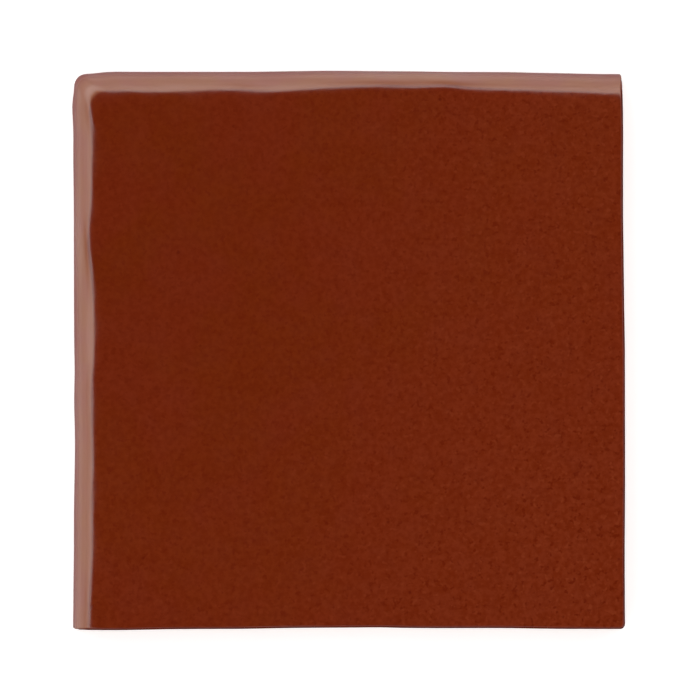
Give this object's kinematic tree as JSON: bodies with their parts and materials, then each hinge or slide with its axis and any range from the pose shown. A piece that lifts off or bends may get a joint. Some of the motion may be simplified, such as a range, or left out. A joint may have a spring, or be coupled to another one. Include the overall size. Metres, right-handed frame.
{
  "type": "ceramic bullnose tile",
  "caption": "Square glazed ceramic wall tile, hand-pressed, with two neighbouring edges rolled over, two plain edges and key grooves in its back.",
  "frame": {"origin": "middle of the tile's box on the bed plane of its back", "axes": "+Z out of the glazed face, +Y up the face towards one rolled edge, -X towards the other rolled edge"},
  "size_m": [0.1507, 0.1524, 0.0095],
  "materials": {
    "glaze": "gloss"
  },
  "bodies": {
    "root": {"bullnose_tile": "glaze"}
  },
  "joints": []
}
